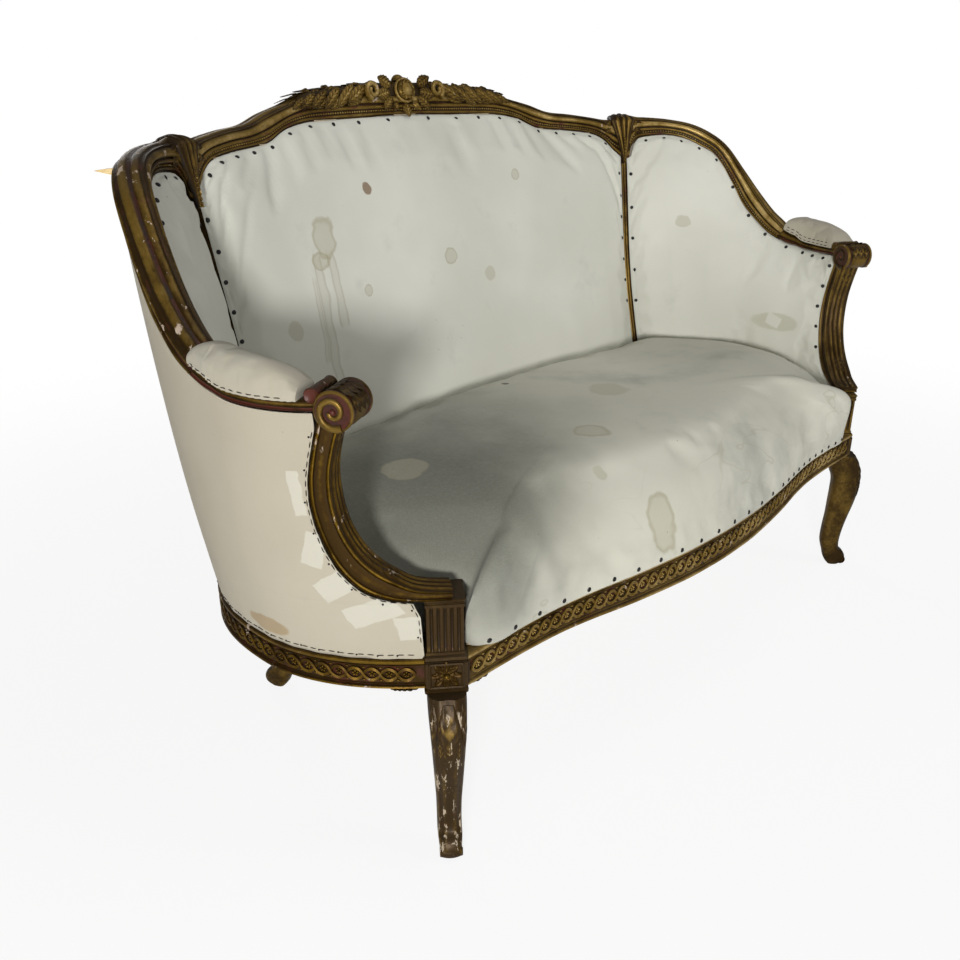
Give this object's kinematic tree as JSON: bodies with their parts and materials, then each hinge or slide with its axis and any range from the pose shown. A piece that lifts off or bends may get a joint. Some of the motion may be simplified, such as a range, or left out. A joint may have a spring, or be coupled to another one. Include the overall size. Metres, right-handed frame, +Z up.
{
  "type": "cabriole sofa",
  "caption": "Carved gilt settee with a basket-shaped open frame, short cabriole legs, scrolled arms and a sprung seat, in its muslin undercover.",
  "frame": {"origin": "on the floor, under the middle of the sofa's overall box", "axes": "+X to the sitter's left, seen as the right from the front; +Y from the front to the back; +Z up"},
  "size_m": [1.525, 0.8094, 1.0007],
  "materials": {
    "gilt_wood": "carved wood under worn gilding with red bole and pale gesso at its edges",
    "inner_wood": "sawn beech",
    "raw_wood": "raw, split",
    "muslin": "plain weave, aged, water-stained",
    "horsehair": "curled hair stuffing",
    "hessian": "coarse jute weave",
    "spring_steel": "dull drawn wire",
    "tack_steel": "blued black"
  },
  "bodies": {
    "root": {"front_left_leg": "gilt_wood", "front_right_leg": "gilt_wood", "back_left_leg": "gilt_wood", "back_right_leg": "gilt_wood", "front_seat_rail": "gilt_wood", "back_seat_rail": "gilt_wood", "left_seat_rail": "gilt_wood", "right_seat_rail": "gilt_wood", "seat_cross_rails": "inner_wood", "left_arm_support": "gilt_wood", "right_arm_support": "gilt_wood", "left_arm_rail": "gilt_wood", "right_arm_rail": "gilt_wood", "left_wing_rail": "gilt_wood", "right_wing_rail": "gilt_wood", "crest_rail": "gilt_wood", "crest_carving": "gilt_wood", "left_crest_clasp": "gilt_wood", "right_crest_clasp": "gilt_wood", "left_crest_wedge": "raw_wood", "left_back_stile": "gilt_wood", "right_back_stile": "gilt_wood", "lower_back_rail": "inner_wood", "left_lower_wing_rail": "inner_wood", "right_lower_wing_rail": "inner_wood", "left_rosette": "gilt_wood", "right_rosette": "gilt_wood", "seat_webbing": "hessian", "seat_springs": "spring_steel", "spring_hessian": "hessian", "seat_stuffing": "horsehair", "seat_cover": "muslin", "back_webbing": "hessian", "back_stuffing": "horsehair", "back_cover": "muslin", "left_wing_stuffing": "horsehair", "right_wing_stuffing": "horsehair", "left_wing_cover": "muslin", "right_wing_cover": "muslin", "left_arm_pad": "muslin", "right_arm_pad": "muslin", "outside_back_cover": "muslin", "left_outside_cover": "muslin", "right_outside_cover": "muslin", "dust_cover": "hessian", "seat_tacks": "tack_steel", "back_tacks": "tack_steel", "left_wing_tacks": "tack_steel", "right_wing_tacks": "tack_steel", "left_outside_tacks": "tack_steel", "right_outside_tacks": "tack_steel", "outside_back_tacks": "tack_steel"}
  },
  "joints": []
}
